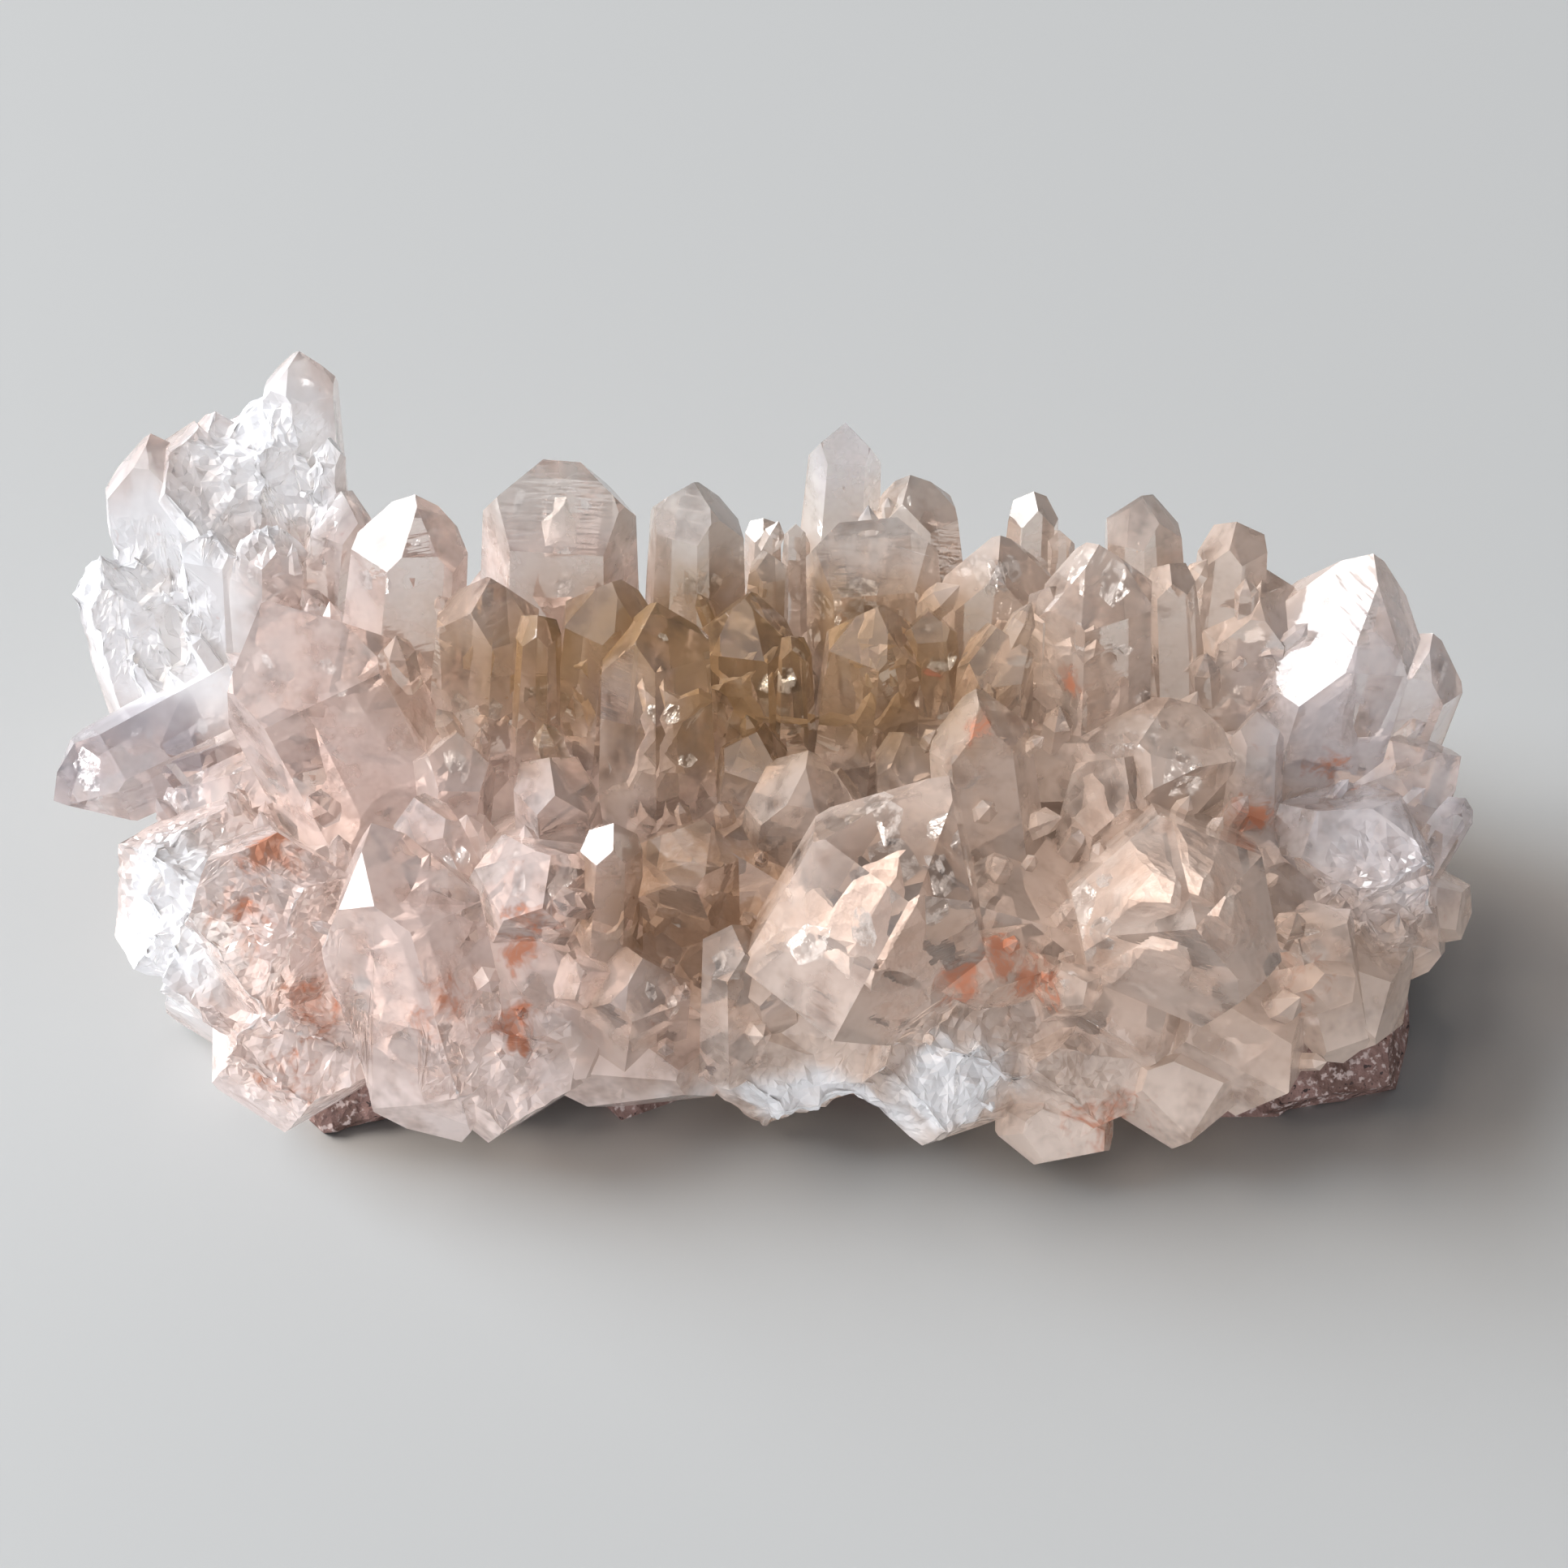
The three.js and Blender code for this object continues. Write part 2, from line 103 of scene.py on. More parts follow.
# Where the quartz has a colour of its own, in millimetres: centre, reach along x, y and z, and colour. The
# zone at the far left is not a colour of its own but a painted sky reflection.
COLOUR_ZONES = (
    ((-57.0, 14.0, 26.0), (15.0, 17.0, 20.0), "white"),
    ((-45.0, 22.0, 38.0), (11.0, 11.0, 13.0), "white"),
    ((-52.0, -13.0, 14.0), (10.0, 12.0, 14.0), "white"),
    # Painted sky reflection: a dim bluish grey on the far left faces, where they mirror the sky.
    ((-59.0, 5.0, 17.0), (13.0, 8.0, 8.0), "painted_sky_reflection"),
    ((4.0, -28.0, 6.0), (16.0, 6.0, 5.0), "white"),
    ((17.0, -28.0, 11.0), (8.0, 6.0, 6.0), "white"),
    ((-4.0, 3.0, 30.0), (38.0, 13.0, 15.0), "honey"),
    ((-12.0, -1.0, 26.0), (7.0, 5.0, 12.0), "beige"),
    ((-6.0, -14.0, 19.0), (15.0, 12.0, 12.0), "brown"),
    ((-11.0, -25.0, 13.0), (9.0, 8.0, 9.0), "tan"),
    ((0.0, 19.0, 40.0), (48.0, 12.0, 13.0), "grey"),
    ((8.0, 21.0, 43.0), (8.0, 8.0, 12.0), "cool"),
    ((57.0, 0.0, 23.0), (18.0, 22.0, 18.0), "cool"),
)

# Chunks without crystal faces, in millimetres: centre, reach, and how milky they are.
ROUGH_CHUNKS = (
    ((-53.0, -12.0, 16.0), 11.0, 1.0),
    ((-42.0, -17.0, 20.0), 8.5, 0.7),
    ((-41.0, -26.0, 12.0), 9.0, 0.8),
    ((-46.5, 21.0, 36.0), 9.0, 1.0),
    ((-58.0, 17.0, 24.0), 9.0, 0.9),
    ((17.0, -27.0, 11.0), 8.0, 0.9),
    ((4.0, -29.5, 5.0), 9.0, 0.9),
    ((-22.5, -26.5, 12.0), 7.0, 0.8),
    ((27.0, -26.0, 10.0), 6.0, 0.5),
    ((56.0, -12.0, 17.0), 7.0, 0.7),
)

# Crystals and tips that are clearer than the rest, in millimetres: centre, reach, and how clear they are.
CLEAR_PLACES = (
    ((11.0, -20.0, 28.0), 11.0, 0.95),
    ((-10.0, -1.0, 28.0), 8.5, 0.85),
    ((8.0, 21.0, 42.0), 8.0, 0.9),
    ((-30.0, 9.0, 38.0), 9.0, 0.85),
    ((33.0, -20.0, 27.0), 9.5, 0.75),
    ((63.0, -5.0, 18.0), 5.0, 0.9),
    ((-42.0, 25.0, 43.0), 6.0, 0.8),
    ((30.0, 4.0, 36.0), 7.0, 0.5),
    ((45.5, -19.0, 20.0), 5.0, 0.7),
    ((-15.0, 16.0, 40.0), 8.0, 0.4),
    ((34.0, 15.0, 40.0), 8.0, 0.5),
)

# Half of the healed cracks lie about square to this direction.
COMMON_CLEAVAGE = Vector((-0.55, -0.24, 0.80))

# Small crystals: how deep they are rooted, in millimetres, how low they may stand, and how near
# their walls are.
ROOTED = 0.8
LOWEST_DRUSE = 7.0 * MM
VALLEY_WIDTH = 7.0 * MM

# Healed cracks: the lowest place and the smallest face they lie under, how thick they are, and how
# much quartz covers them.
LOWEST_CRACK = 9.0 * MM
SMALLEST_FACE = 0.5 * MM * MM
FLAKE_THICKNESS = 0.03 * MM
CRACK_COVER = 0.15 * MM

# The size of the finest faces on the broken chunks and on the host rock.
CHUNK_GRAIN = 0.9 * MM
ROCK_GRAIN = 1.5 * MM

# How often the skin of the milky roots is peeled, and the share of their faces that is kept.
PEELS = 5
ROOT_DETAIL = 0.12

# The camera, in millimetres: where it stands, what it looks at, and its lens.
CAMERA_PLACE = (2.11, -143.4, 177.55)
CAMERA_TARGET = (2.11, 0.25, 18.0)
CAMERA_LENS = 54.0


class Wire:
    """An output of one of a finish's nodes, on which sums can be written."""

    def __init__(self, finish, socket):
        self.finish = finish
        self.socket = socket

    def math(self, operation, first, second):
        return self.finish.node("ShaderNodeMath", {"operation": operation}, {0: first, 1: second})

    def __add__(self, other):
        return self.math("ADD", self, other)

    __radd__ = __add__

    def __mul__(self, other):
        return self.math("MULTIPLY", self, other)

    __rmul__ = __mul__

    def __sub__(self, other):
        return self.math("SUBTRACT", self, other)

    def __rsub__(self, other):
        return self.math("SUBTRACT", other, self)

    def over(self, other):
        """The larger of the two values."""
        return self.math("MAXIMUM", self, other)


class Finish:
    """A material that is put together node by node."""

    def __init__(self, name):
        self.material = bpy.data.materials.new(name)
        self.material.use_nodes = True
        self.tree = self.material.node_tree
        self.tree.nodes.clear()

    def node(self, kind, settings=None, sockets=None, output=0):
        made = self.tree.nodes.new(kind)
        for name, value in (settings or {}).items():
            setattr(made, name, value)
        for name, value in (sockets or {}).items():
            if isinstance(value, Wire):
                self.tree.links.new(value.socket, made.inputs[name])
            else:
                made.inputs[name].default_value = value
        return Wire(self, made.outputs[output])

    def place(self, scale=(1.0, 1.0, 1.0)):
        """The point on the piece, in object coordinates, scaled for a pattern."""
        point = self.node("ShaderNodeTexCoord", output="Object")
        return self.node("ShaderNodeMapping", {}, {"Vector": point, "Scale": scale})

    def noise(self, place, size, detail, roughness):
        """Soft random values whose blobs are about as large as size, in metres."""
        return self.node(
            "ShaderNodeTexNoise", {},
            {"Vector": place, "Scale": 1.0 / size, "Detail": detail, "Roughness": roughness},
        )

    def cells(self, place, size):
        """How far each place is from the middle of its cell, of about the given size in metres."""
        return self.node("ShaderNodeTexVoronoi", {}, {"Vector": place, "Scale": 1.0 / size})

    def step(self, value, low, high, least=0.0, most=1.0):
        """A smooth change from the least at low to the most at high."""
        return self.node(
            "ShaderNodeMapRange", {"interpolation_type": "SMOOTHSTEP"},
            {"Value": value, "From Min": low, "From Max": high, "To Min": least, "To Max": most},
        )

    def blend(self, factor, first, second):
        """A colour that goes from first to second with the factor."""
        return self.node(
            "ShaderNodeMix", {"data_type": "RGBA"}, {0: factor, 6: first, 7: second}, output=2
        )

    def vector(self, operation, first, second, output="Vector"):
        return self.node("ShaderNodeVectorMath", {"operation": operation}, {0: first, 1: second}, output)

    def shaken(self, place, size, reach):
        """The place, moved about at random by up to reach, which gives patterns ragged edges."""
        swirl = self.node(
            "ShaderNodeTexNoise", {}, {"Vector": place, "Scale": 1.0 / size, "Detail": 2.0}, output="Color"
        )
        centred = self.vector("SUBTRACT", swirl, (0.5, 0.5, 0.5))
        moved = self.vector("MULTIPLY", centred, (2.0 * reach,) * 3)
        return self.vector("ADD", place, moved)

    def spot(self, place, centre, reach, most=1.0, least=0.0):
        """The most at the centre, in millimetres, and the least past the reach."""
        away = self.vector("DISTANCE", place, tuple(c * MM for c in centre), output="Value")
        return self.step(away, reach * MM, 0.0, least, most)

    def blob(self, place, centre, reach):
        """1 at the centre and 0 past the reach, which differs by axis, both in millimetres."""
        scale = tuple(1.0 / (r * MM) for r in reach)
        shift = tuple(-c / r for c, r in zip(centre, reach))
        shrunk = self.node(
            "ShaderNodeVectorMath", {"operation": "MULTIPLY_ADD"}, {0: place, 1: scale, 2: shift}
        )
        away = self.node("ShaderNodeVectorMath", {"operation": "LENGTH"}, {0: shrunk}, output="Value")
        return self.step(away, 1.0, 0.45)

    def along(self, place, axis):
        """One coordinate of the place: 0, 1 or 2 for x, y or z."""
        return self.node("ShaderNodeSeparateXYZ", {}, {0: place}, output=axis)

    def bump(self, height, strength, distance):
        return self.node(
            "ShaderNodeBump", {}, {"Strength": strength, "Distance": distance, "Height": height}
        )

    def surface(self, **sockets):
        named = {name.replace("_", " "): value for name, value in sockets.items()}
        return self.node("ShaderNodeBsdfPrincipled", {}, named)

    def finish(self, surface, volume=None):
        end = self.tree.nodes.new("ShaderNodeOutputMaterial")
        self.tree.links.new(surface.socket, end.inputs["Surface"])
        if volume is not None:
            self.tree.links.new(volume.socket, end.inputs["Volume"])
        return self.material


# ---- finishes -------------------------------------------------------------------------------

# What clear quartz adds to the light that goes through its faces, by colour zone.
GLASS_TINTS = {
    "white": (1.0, 1.0, 1.0, 1.0),
    # Painted sky reflection: a faint bluish tint on the light through the far left crystals.
    "painted_sky_reflection": (0.95, 0.93, 0.97, 1.0),
    "cool": (0.98, 0.97, 1.0, 1.0),
    "grey": (0.99, 0.96, 0.94, 1.0),
    "pink": (1.0, 0.94, 0.92, 1.0),
    "beige": (0.98, 0.92, 0.87, 1.0),
    "honey": (0.93, 0.80, 0.62, 1.0),
    "brown": (0.90, 0.78, 0.68, 1.0),
    "tan": (0.94, 0.85, 0.78, 1.0),
}

# Cloudy quartz at the faces, by colour zone.
MILK_COLOURS = {
    "white": (0.98, 0.98, 1.0, 1.0),
    # Painted sky reflection: a dim bluish grey, darker than the other milky colours, on the far left
    # faces.
    "painted_sky_reflection": (0.44, 0.41, 0.44, 1.0),
    "cool": (0.84, 0.80, 0.83, 1.0),
    "grey": (0.84, 0.78, 0.73, 1.0),
    "pink": (0.97, 0.83, 0.79, 1.0),
    "beige": (0.84, 0.69, 0.60, 1.0),
    "honey": (0.48, 0.31, 0.17, 1.0),
    "brown": (0.40, 0.27, 0.19, 1.0),
    "tan": (0.66, 0.52, 0.46, 1.0),
}

# The deep milky roots, by colour zone.
ROOT_COLOURS = {
    "white": (0.97, 0.96, 0.97, 1.0),
    # Painted sky reflection: a bluish grey in the roots of the far left crystals.
    "painted_sky_reflection": (0.66, 0.60, 0.64, 1.0),
    "cool": (0.84, 0.78, 0.79, 1.0),
    "grey": (0.80, 0.70, 0.64, 1.0),
    "pink": (0.92, 0.72, 0.66, 1.0),
    "beige": (0.75, 0.59, 0.51, 1.0),
    "honey": (0.58, 0.39, 0.22, 1.0),
    "brown": (0.46, 0.31, 0.21, 1.0),
    "tan": (0.66, 0.50, 0.42, 1.0),
}


def zone_masks(kind, ragged):
    """How much each place belongs to the right half, and to each colour zone."""
    right = kind.step(kind.along(ragged, 0), -0.022, 0.004)
    return right, [kind.blob(ragged, centre, reach) for centre, reach, _ in COLOUR_ZONES]


def zoned(kind, masks, colours):
    """The colour of each part of the cluster: pink on the left, beige on the right, then the zones."""
    right, blobs = masks
    colour = kind.blend(right, colours["pink"], colours["beige"])
    for blob, (_, _, name) in zip(blobs, COLOUR_ZONES):
        colour = kind.blend(blob, colour, colours[name])
    return colour


def white_mask(masks):
    """How much each place belongs to the white chunks."""
    white = [blob for blob, (_, _, name) in zip(masks[1], COLOUR_ZONES) if name == "white"]
    mask = white[0]
    for blob in white[1:]:
        mask = mask.over(blob)
    return mask


def stain_mask(kind, place):
    """How much iron oxide stains the quartz at each place, in grainy patches."""
    mask = None
    for centre, reach, strength in RED_STAINS:
        spot = kind.spot(place, centre, reach, most=0.6 * strength)
        mask = spot if mask is None else mask.over(spot)
    rust = kind.noise(place, size=0.0017, detail=2.0, roughness=0.7)
    return kind.step(mask + rust, 0.64, 1.06)


def lets_light_in(kind, surface, passed):
    """Lets some light shine on into the crystals past this surface, as it does in real quartz."""
    shadow = kind.node("ShaderNodeLightPath", output="Is Shadow Ray")
    open_to_light = kind.node("ShaderNodeBsdfTransparent", {}, {"Color": (*passed, 1.0)})
    return kind.node("ShaderNodeMixShader", {}, {0: shadow, 1: surface, 2: open_to_light})


def clear_quartz(settings):
    kind = Finish("clear_quartz")
    place = kind.place()
    ragged = kind.shaken(place, size=0.004, reach=0.0025)
    haze = kind.noise(place, size=0.0045, detail=3.0, roughness=0.62)
    growth = kind.noise(kind.place(scale=(0.3, 0.3, 2.2)), size=0.0012, detail=1.0, roughness=0.6)
    grain = kind.noise(place, size=0.0007, detail=1.0, roughness=0.5)
    z = kind.along(ragged, 2)
    stain = stain_mask(kind, ragged)
    masks = zone_masks(kind, ragged)

    glass = kind.surface(
        Base_Color=kind.blend(stain, zoned(kind, masks, GLASS_TINTS), (0.97, 0.62, 0.48, 1.0)),
        Roughness=kind.step(haze, 0.52, 0.8) * 0.08,
        IOR=settings.quartz_ior,
        Transmission_Weight=1.0,
        Normal=kind.bump(growth, strength=0.14, distance=0.0002),
    )
    milk_colour = zoned(kind, masks, MILK_COLOURS)
    milk_colour = kind.blend(kind.step(haze, 0.50, 0.25) * 0.25, milk_colour, (0.56, 0.44, 0.38, 1.0))
    milk_colour = kind.blend(stain, milk_colour, (0.60, 0.24, 0.14, 1.0))
    milk = kind.surface(
        Base_Color=milk_colour,
        Roughness=grain * 0.16 + 0.06,
    )
    roots = kind.step(z, 0.020, 0.005) * 0.95
    cloud = roots.over(settings.cloudiness)
    for centre, reach, strength in CLEAR_PLACES:
        cloud = cloud * kind.spot(ragged, centre, reach, most=1.0 - strength, least=1.0)
    cloud = cloud * (kind.step(haze, 0.24, 0.60) * 0.75 + 0.25)
    for centre, reach, strength in ROUGH_CHUNKS:
        cloud = cloud.over(kind.spot(ragged, centre, reach, most=strength))
    cloud = cloud.over(stain * 0.75).over(white_mask(masks) * 0.92)
    mixed = kind.node("ShaderNodeMixShader", {}, {0: cloud, 1: glass, 2: milk})
    volume = kind.node(
        "ShaderNodeVolumeAbsorption", {},
        {"Color": settings.quartz_tint, "Density": settings.quartz_density},
    )
    return kind.finish(lets_light_in(kind, mixed, (0.86, 0.83, 0.80)), volume)


def milky_root():
    kind = Finish("milky_root")
    place = kind.place()
    ragged = kind.shaken(place, size=0.004, reach=0.003)
    cloud = kind.noise(place, size=0.005, detail=4.0, roughness=0.6)
    cracks = kind.cells(kind.shaken(place, size=0.003, reach=0.001), size=0.0025)
    grain = kind.noise(place, size=0.0009, detail=2.0, roughness=0.6)

    colour = zoned(kind, zone_masks(kind, ragged), ROOT_COLOURS)
    colour = kind.blend(kind.step(cloud, 0.50, 0.78) * 0.7, colour, (0.95, 0.90, 0.87, 1.0))
    colour = kind.blend(kind.step(cloud, 0.46, 0.25) * 0.4, colour, (0.52, 0.36, 0.26, 1.0))
    colour = kind.blend(stain_mask(kind, ragged), colour, (0.60, 0.22, 0.11, 1.0))
    milk = kind.surface(
        Base_Color=colour,
        Roughness=grain * 0.3 + 0.25,
        Normal=kind.bump(cracks * 0.7 + grain * 0.3, strength=0.6, distance=0.0012),
    )
    return kind.finish(lets_light_in(kind, milk, (0.40, 0.31, 0.24)))


def crack_film():
    """The silvery film of a healed crack inside a crystal."""
    kind = Finish("crack_film")
    place = kind.place()
    patches = kind.noise(place, size=0.0014, detail=3.0, roughness=0.6)
    film = kind.surface(
        Base_Color=(0.98, 0.96, 0.95, 1.0),
        Roughness=0.14,
        Metallic=0.7,
        Normal=kind.bump(patches, strength=0.5, distance=0.0004),
    )
    gap = kind.node("ShaderNodeBsdfTransparent")
    cover = kind.step(patches, 0.42, 0.62) * 0.75
    spread = kind.node("ShaderNodeMixShader", {}, {0: cover, 1: gap, 2: film})
    return kind.finish(lets_light_in(kind, spread, (0.9, 0.88, 0.87)))


def granular_rock():
    kind = Finish("granular_rock")
    place = kind.place()
    grains = kind.cells(place, size=0.0011)
    patches = kind.noise(place, size=0.004, detail=4.0, roughness=0.6)
    fine = kind.noise(place, size=0.0007, detail=2.0, roughness=0.6)
    colour = kind.blend(kind.step(patches, 0.35, 0.65), (0.15, 0.085, 0.07, 1.0), (0.33, 0.20, 0.18, 1.0))
    colour = kind.blend(kind.step(fine, 0.54, 0.66), colour, (0.62, 0.50, 0.48, 1.0))
    colour = kind.blend(kind.step(fine, 0.36, 0.30), colour, (0.05, 0.03, 0.03, 1.0))
    return kind.finish(
        kind.surface(
            Base_Color=colour,
            Roughness=fine * 0.2 + 0.6,
            Normal=kind.bump(grains * 0.5 + fine * 0.5, strength=0.8, distance=0.0008),
        )
    )


def pale_floor(settings):
    kind = Finish("pale_floor")
    return kind.finish(kind.surface(Base_Color=settings.floor_colour, Roughness=0.55))


# ---- shapes ---------------------------------------------------------------------------------


def shown(name, mesh, material, slot, *nodes):
    """Puts a finished mesh in the scene as a piece that rides on the specimen."""
    piece = bpy.data.objects.new(name, mesh)
    mesh.name = name
    mesh.materials.clear()
    mesh.materials.append(material)
    bpy.context.scene.collection.objects.link(piece)
    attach(piece, "root")
    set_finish(piece, slot)
    if nodes:
        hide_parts(*nodes)


def copy_of(node):
    """A bmesh of a CAD node with its loose triangles merged."""
    bm = bmesh.new()
    bm.from_mesh(frame["nodes"][node].data)
    bmesh.ops.remove_doubles(bm, verts=bm.verts, dist=0.001 * MM)
    return bm


def mesh_from(bm, name):
    """A flat-shaded mesh of the bmesh, which is used up."""
    mesh = bpy.data.meshes.new(name)
    for face in bm.faces:
        face.smooth = False
    bm.to_mesh(mesh)
    bm.free()
    return mesh


def worked(mesh, *steps):
    """The mesh after a stack of modifiers, each given as its type and its settings."""
    scrap = bpy.data.objects.new("scrap", mesh)
    bpy.context.scene.collection.objects.link(scrap)
    for kind, settings in steps:
        modifier = scrap.modifiers.new(kind, kind)
        for name, value in settings.items():
            setattr(modifier, name, value)
    bpy.context.view_layer.update()
    made = bpy.data.meshes.new_from_object(scrap.evaluated_get(bpy.context.evaluated_depsgraph_get()))
    bpy.data.objects.remove(scrap)
    return made


def eroded(mesh, voxel, depth, steps):
    """The mesh with a skin of the given depth taken off, a little at a time, so thin crystals vanish."""
    remesh = ("REMESH", {"mode": "VOXEL", "voxel_size": voxel, "adaptivity": 0.0})
    peel = ("DISPLACE", {"strength": -depth / steps, "mid_level": 0.0, "direction": "NORMAL"})
    stack = [remesh]
    for _ in range(steps):
        stack += [peel, remesh]
    return worked(mesh, *stack)


def weight_of(point, places):
    """How much a point belongs to the nearest of some places: 1 at a centre and 0 past its reach."""
    best = 0.0
    for centre, reach, strength in places:
        away = (point - Vector(centre) * MM).length / (reach * MM)
        best = max(best, strength * min(1.0, max(0.0, 2.0 * (1.0 - away))))
    return best


def reaches(edge, places):
    """Whether an end or the middle of an edge lies at one of the places."""
    first, last = (vert.co for vert in edge.verts)
    return any(weight_of(point, places) > 0.05 for point in (first, last, (first + last) / 2))


def split(edge):
    """Puts a point in the middle of an edge and cuts both triangles there: the mesh stays closed."""
    _, middle = bmesh.utils.edge_split(edge, edge.verts[0], 0.5)
    for loop in list(middle.link_loops):
        bmesh.utils.face_split(loop.face, middle, loop.link_loop_next.link_loop_next.vert)


def refine(bm, places, grain):
    """Splits the faces at the places into ones of about the grain's size, the longest edges first."""
    bmesh.ops.triangulate(bm, faces=bm.faces)
    longest = max(edge.calc_length() for edge in bm.edges)
    while longest > grain:
        longest = max(grain, 0.6 * longest)
        for edge in [edge for edge in bm.edges if edge.calc_length() > longest and reaches(edge, places)]:
            split(edge)


def roughen(bm, places, height):
    """Pushes the points at the places about, as on broken quartz."""
    bm.normal_update()
    for vert in bm.verts:
        weight = weight_of(vert.co, places)
        if weight > 0.05:
            coarse = noise.noise(vert.co / (3.2 * MM), noise_basis="VORONOI_F2F1")
            fine = noise.noise(vert.co / (0.9 * MM), noise_basis="CELLNOISE")
            vert.co += vert.normal * height * weight * (1.1 * coarse + 0.45 * fine - 0.55)


def small_crystal(bm, foot, axis, width, length, turn, lean):
    """A six-sided prism with a pointed end, whose point sits a little off the middle."""
    point = 0.62 * width
    verts = bmesh.ops.create_cone(
        bm, cap_ends=True, segments=6, radius1=width / 2, radius2=0.46 * width, depth=length - point
    )["verts"]
    faces = [face for vert in verts for face in vert.link_faces]
    top = max(faces, key=lambda face: face.calc_center_median().z)
    peak = bmesh.ops.poke(bm, faces=[top], offset=point)["verts"]
    peak[0].co.x += lean * width
    stand = Matrix.Translation((0.0, 0.0, (length - point) / 2))
    aim = axis.to_track_quat("Z", "Y").to_matrix().to_4x4()
    whole = Matrix.Translation(foot) @ aim @ Matrix.Rotation(turn, 4, "Z") @ stand
    bmesh.ops.transform(bm, matrix=whole, verts=verts + peak)


def outward(point):
    """The way a crystal grows at a point: up, and away from the middle of the cluster."""
    return Vector((point.x * 9.0, (point.y - 4.0 * MM) * 22.0, 1.0)).normalized()


def druse(solid, count, seed):
    """Small crystals in the valleys between the large ones."""
    chance = random.Random(seed)
    tree = BVHTree.FromBMesh(solid)
    low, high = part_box("crystals")
    bm = bmesh.new()
    taken = []
    tries = 0
    while len(taken) < count and tries < 60 * count:
        tries += 1
        above = Vector((chance.uniform(low.x, high.x), chance.uniform(low.y, high.y), high.z + MM))
        hit, normal, _, _ = tree.ray_cast(above, Vector((0.0, 0.0, -1.0)))
        width = chance.uniform(1.3, 3.2) * MM
        length = width * chance.uniform(1.1, 1.9)
        if hit is None or hit.z < LOWEST_DRUSE or normal.z < 0.15:
            continue
        if any((hit - other).length < 0.9 * (width + size) for other, size in taken):
            continue
        axis = (outward(hit) + normal * chance.uniform(0.2, 0.9)).normalized()
        tip = hit + axis * length
        walls = sum(
            tree.ray_cast(tip, Vector((math.cos(a), math.sin(a), 0.15)), VALLEY_WIDTH)[0] is not None
            for a in (0.0, 1.05, 2.09, 3.14, 4.19, 5.24)
        )
        inside = all(low[i] + MM < tip[i] < high[i] - MM for i in range(3))
        if walls < 3 or not inside:
            continue
        taken.append((hit, width))
        turn = chance.uniform(0, math.tau)
        lean = chance.uniform(-0.12, 0.12)
        small_crystal(bm, hit - axis * ROOTED * MM, axis, width, length + ROOTED * MM, turn, lean)
    bmesh.ops.recalc_face_normals(bm, faces=bm.faces)
    return mesh_from(bm, "druse")


def joined(first, second):
    """One closed mesh from two that overlap."""
    other = bpy.data.objects.new("other", second)
    bpy.context.scene.collection.objects.link(other)
    made = worked(first, ("BOOLEAN", {"operation": "UNION", "solver": "MANIFOLD", "object": other}))
    bpy.data.objects.remove(other)
    return made


def crack_flakes(solid, count, seed):
    """Thin bent flakes inside the crystals, where cracks have healed."""
    chance = random.Random(seed)
    tree = BVHTree.FromBMesh(solid)
    low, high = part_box("crystals")
    faces = [
        face for face in solid.faces
        if face.calc_center_median().z > LOWEST_CRACK and face.calc_area() > SMALLEST_FACE
    ]
    areas = [face.calc_area() for face in faces]
    bm = bmesh.new()
    for face in chance.choices(faces, areas, k=count):
        radius = chance.uniform(0.5, 2.4) * MM
        depth = chance.uniform(0.9, 2.6) * MM
        centre = face.calc_center_median() - face.normal * depth
        wild = Vector([chance.gauss(0.0, 1.0) for _ in range(3)]).normalized()
        facing = (wild + COMMON_CLEAVAGE * chance.choice((0.0, 2.2))).normalized()
        sides = chance.randint(5, 8)
        flake = bmesh.ops.create_cone(
            bm, cap_ends=True, segments=sides, radius1=radius, radius2=radius, depth=FLAKE_THICKNESS
        )["verts"]
        stretch = chance.uniform(1.0, 2.2)
        bend = chance.uniform(-0.15, 0.15) / radius
        shape = {}
        for vert in flake:
            key = (round(vert.co.x / MM, 3), round(vert.co.y / MM, 3))
            shape.setdefault(key, chance.uniform(0.6, 1.1))
            vert.co.x *= shape[key] * stretch
            vert.co.y *= shape[key]
            vert.co.z += bend * vert.co.x * vert.co.y
        aim = facing.to_track_quat("Z", "Y").to_matrix().to_4x4()
        bmesh.ops.transform(bm, matrix=Matrix.Translation(centre) @ aim, verts=flake)
        for vert in flake:
            near, normal, _, _ = tree.find_nearest(vert.co)
            if (vert.co - near).dot(normal) > -CRACK_COVER:
                bmesh.ops.delete(bm, geom=flake, context="VERTS")
                break
    bmesh.ops.recalc_face_normals(bm, faces=bm.faces)
    return mesh_from(bm, "crack_flakes")


# ---- settings and operators -----------------------------------------------------------------


